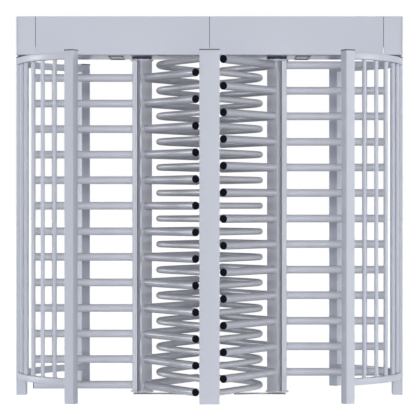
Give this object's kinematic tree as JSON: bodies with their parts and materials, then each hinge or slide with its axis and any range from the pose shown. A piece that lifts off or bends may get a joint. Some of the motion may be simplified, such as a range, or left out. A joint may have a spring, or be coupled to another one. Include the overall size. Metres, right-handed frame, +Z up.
{
  "type": "full height turnstile",
  "caption": "Full height turnstile with paired rotors of horizontal arms, comb hoops between them, barred side cages and a long box header over both lanes.",
  "frame": {"origin": "on the floor, midway between the two rotors and between the front and rear centre posts", "axes": "+Z up; +X to the right across the two lanes seen from the front; +Y from the front towards the rear, through the centre posts"},
  "size_m": [2.41, 1.48, 2.348],
  "materials": {
    "frame_paint": "light blue grey satin powder coat",
    "hoop_paint": "light blue grey satin powder coat",
    "rotor_paint": "light blue grey satin powder coat",
    "header_paint": "light blue grey satin powder coat on sheet",
    "zinc_plate": "dull zinc plated steel",
    "bright_steel": "bright ground steel",
    "turned_steel": "turned steel, lightly oiled",
    "hardened_steel": "blackened hardened steel",
    "dark_iron": "dark grey painted iron",
    "seal_strip": "flat black painted steel strap behind a seam",
    "post_cap_paint": "dark moulded cap",
    "plug_plastic": "black moulded plug",
    "box_enamel": "mid grey enamelled steel box",
    "solenoid_case": "black coated solenoid case"
  },
  "bodies": {
    "frame": {"front_center_post": "frame_paint", "rear_center_post": "frame_paint", "center_top_tie": "frame_paint", "left_end_posts": "frame_paint", "right_end_posts": "frame_paint", "left_side_post": "frame_paint", "right_side_post": "frame_paint", "left_cage_bands": "frame_paint", "right_cage_bands": "frame_paint", "left_cage_bars": "frame_paint", "right_cage_bars": "frame_paint", "left_comb_hoops": "hoop_paint", "right_comb_hoops": "hoop_paint", "header_tray": "header_paint", "header_covers": "header_paint", "end_covers": "header_paint", "hatch_frames": "header_paint", "hatch_lids": "header_paint", "post_spigots": "zinc_plate", "bearing_decks": "zinc_plate", "header_rails": "zinc_plate", "floor_plates": "zinc_plate", "seam_straps": "seal_strip", "bearings": "bright_steel", "pawl_pins": "bright_steel", "floor_screws": "bright_steel", "flange_screws": "bright_steel", "cover_screws": "bright_steel", "bearing_housings": "dark_iron", "floor_pivots": "dark_iron", "post_caps": "post_cap_paint", "controller_box": "box_enamel", "power_supply": "box_enamel", "solenoids": "solenoid_case"},
    "left_rotor": {"left_rotor_uprights": "rotor_paint", "left_outer_wing_arms": "rotor_paint", "left_front_wing_arms": "rotor_paint", "left_rear_wing_arms": "rotor_paint", "left_bottom_hub": "rotor_paint", "left_top_hub": "rotor_paint", "left_shaft": "rotor_paint", "left_arm_plugs": "plug_plastic", "left_lock_disc": "turned_steel"},
    "right_rotor": {"right_rotor_uprights": "rotor_paint", "right_outer_wing_arms": "rotor_paint", "right_front_wing_arms": "rotor_paint", "right_rear_wing_arms": "rotor_paint", "right_bottom_hub": "rotor_paint", "right_top_hub": "rotor_paint", "right_shaft": "rotor_paint", "right_arm_plugs": "plug_plastic", "right_lock_disc": "turned_steel"},
    "left_front_pawl": {"left_front_pawl": "hardened_steel"},
    "left_front_plunger": {"left_front_plunger": "bright_steel"},
    "left_rear_pawl": {"left_rear_pawl": "hardened_steel"},
    "left_rear_plunger": {"left_rear_plunger": "bright_steel"},
    "right_front_pawl": {"right_front_pawl": "hardened_steel"},
    "right_front_plunger": {"right_front_plunger": "bright_steel"},
    "right_rear_pawl": {"right_rear_pawl": "hardened_steel"},
    "right_rear_plunger": {"right_rear_plunger": "bright_steel"}
  },
  "joints": [
    {"name": "left_rotor_spin", "type": "hinge", "parent": "frame", "child": "left_rotor", "pos_m": [-0.4225, 0, 0], "axis": [0, 0, 1], "continuous": true},
    {"name": "right_rotor_spin", "type": "hinge", "parent": "frame", "child": "right_rotor", "pos_m": [0.4225, 0, 0], "axis": [0, 0, 1], "continuous": true},
    {"name": "left_front_pawl_swing", "type": "hinge", "parent": "frame", "child": "left_front_pawl", "pos_m": [-0.4775, -0.124, 2.2], "axis": [0, 0, 1], "range_deg": [0, 13.5]},
    {"name": "left_front_plunger_slide", "type": "slide", "parent": "frame", "child": "left_front_plunger", "axis": [0, -1, 0], "range_m": [0, 0.0095]},
    {"name": "left_rear_pawl_swing", "type": "hinge", "parent": "frame", "child": "left_rear_pawl", "pos_m": [-0.4775, 0.124, 2.2], "axis": [0, 0, -1], "range_deg": [0, 13.5]},
    {"name": "left_rear_plunger_slide", "type": "slide", "parent": "frame", "child": "left_rear_plunger", "axis": [0, 1, 0], "range_m": [0, 0.0095]},
    {"name": "right_front_pawl_swing", "type": "hinge", "parent": "frame", "child": "right_front_pawl", "pos_m": [0.4775, -0.124, 2.2], "axis": [0, 0, -1], "range_deg": [0, 13.5]},
    {"name": "right_front_plunger_slide", "type": "slide", "parent": "frame", "child": "right_front_plunger", "axis": [0, -1, 0], "range_m": [0, 0.0095]},
    {"name": "right_rear_pawl_swing", "type": "hinge", "parent": "frame", "child": "right_rear_pawl", "pos_m": [0.4775, 0.124, 2.2], "axis": [0, 0, 1], "range_deg": [0, 13.5]},
    {"name": "right_rear_plunger_slide", "type": "slide", "parent": "frame", "child": "right_rear_plunger", "axis": [0, 1, 0], "range_m": [0, 0.0095]}
  ],
  "couplings": [
    {"joint": "left_front_plunger_slide", "follows": "left_front_pawl_swing", "m_per_rad": 0.04},
    {"joint": "left_rear_plunger_slide", "follows": "left_rear_pawl_swing", "m_per_rad": 0.04},
    {"joint": "right_front_plunger_slide", "follows": "right_front_pawl_swing", "m_per_rad": 0.04},
    {"joint": "right_rear_plunger_slide", "follows": "right_rear_pawl_swing", "m_per_rad": 0.04}
  ]
}
